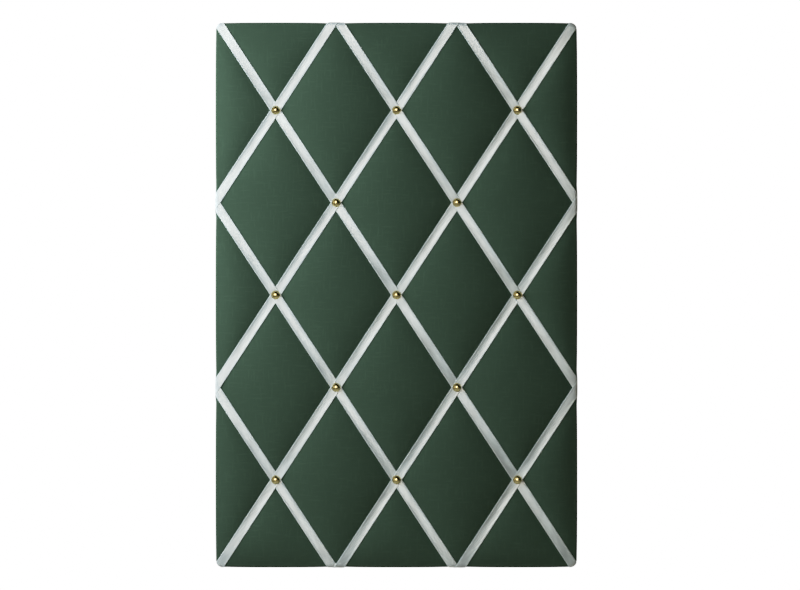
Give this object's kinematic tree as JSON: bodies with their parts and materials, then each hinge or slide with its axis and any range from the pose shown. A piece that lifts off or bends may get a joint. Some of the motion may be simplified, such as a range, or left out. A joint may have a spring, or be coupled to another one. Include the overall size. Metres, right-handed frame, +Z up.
{
  "type": "french memo board",
  "caption": "Padded fabric pin-free memo board with a diamond lattice of ribbons held by dome-headed nails, and ring hangers on its felt back.",
  "frame": {"origin": "middle of the felt's rear face, which hangs against the wall", "axes": "+Z up the board's long side, +X to the right as seen from the front, +Y out of the back towards the wall"},
  "size_m": [0.4032, 0.0257, 0.6062],
  "materials": {
    "fibreboard": "matte",
    "wadding": "matte",
    "green_cotton": "matte",
    "satin_ribbon": "satin",
    "nail_brass": "polished",
    "staple_wire": "satin",
    "grey_felt": "matte",
    "nickel_plate": "satin"
  },
  "bodies": {
    "board": {"core_board": "fibreboard", "wadding_pad": "wadding", "fabric_cover": "green_cotton", "ribbon_rising_1": "satin_ribbon", "ribbon_rising_2": "satin_ribbon", "ribbon_rising_3": "satin_ribbon", "ribbon_rising_4": "satin_ribbon", "ribbon_rising_5": "satin_ribbon", "ribbon_falling_1": "satin_ribbon", "ribbon_falling_2": "satin_ribbon", "ribbon_falling_3": "satin_ribbon", "ribbon_falling_4": "satin_ribbon", "ribbon_falling_5": "satin_ribbon", "nail_1": "nail_brass", "nail_2": "nail_brass", "nail_3": "nail_brass", "nail_4": "nail_brass", "nail_5": "nail_brass", "nail_6": "nail_brass", "nail_7": "nail_brass", "nail_8": "nail_brass", "nail_9": "nail_brass", "nail_10": "nail_brass", "nail_11": "nail_brass", "nail_12": "nail_brass", "nail_13": "nail_brass", "ribbon_staple_1": "staple_wire", "ribbon_staple_2": "staple_wire", "ribbon_staple_3": "staple_wire", "ribbon_staple_4": "staple_wire", "ribbon_staple_5": "staple_wire", "ribbon_staple_6": "staple_wire", "ribbon_staple_7": "staple_wire", "ribbon_staple_8": "staple_wire", "ribbon_staple_9": "staple_wire", "ribbon_staple_10": "staple_wire", "ribbon_staple_11": "staple_wire", "ribbon_staple_12": "staple_wire", "ribbon_staple_13": "staple_wire", "ribbon_staple_14": "staple_wire", "ribbon_staple_15": "staple_wire", "ribbon_staple_16": "staple_wire", "ribbon_staple_17": "staple_wire", "ribbon_staple_18": "staple_wire", "ribbon_staple_19": "staple_wire", "ribbon_staple_20": "staple_wire", "felt_back": "grey_felt", "hanger_strap_left": "nickel_plate", "hanger_strap_right": "nickel_plate", "hanger_screw_left": "nickel_plate", "hanger_screw_right": "nickel_plate"},
    "d_ring_left": {"d_ring_left": "nickel_plate"},
    "d_ring_right": {"d_ring_right": "nickel_plate"}
  },
  "joints": [
    {"name": "left_ring_swing", "type": "hinge", "parent": "board", "child": "d_ring_left", "pos_m": [-0.13, 0.0027, 0.2015], "axis": [-1, 0, 0], "range_deg": [0, 180]},
    {"name": "right_ring_swing", "type": "hinge", "parent": "board", "child": "d_ring_right", "pos_m": [0.13, 0.0027, 0.2015], "axis": [-1, 0, 0], "range_deg": [0, 180]}
  ]
}
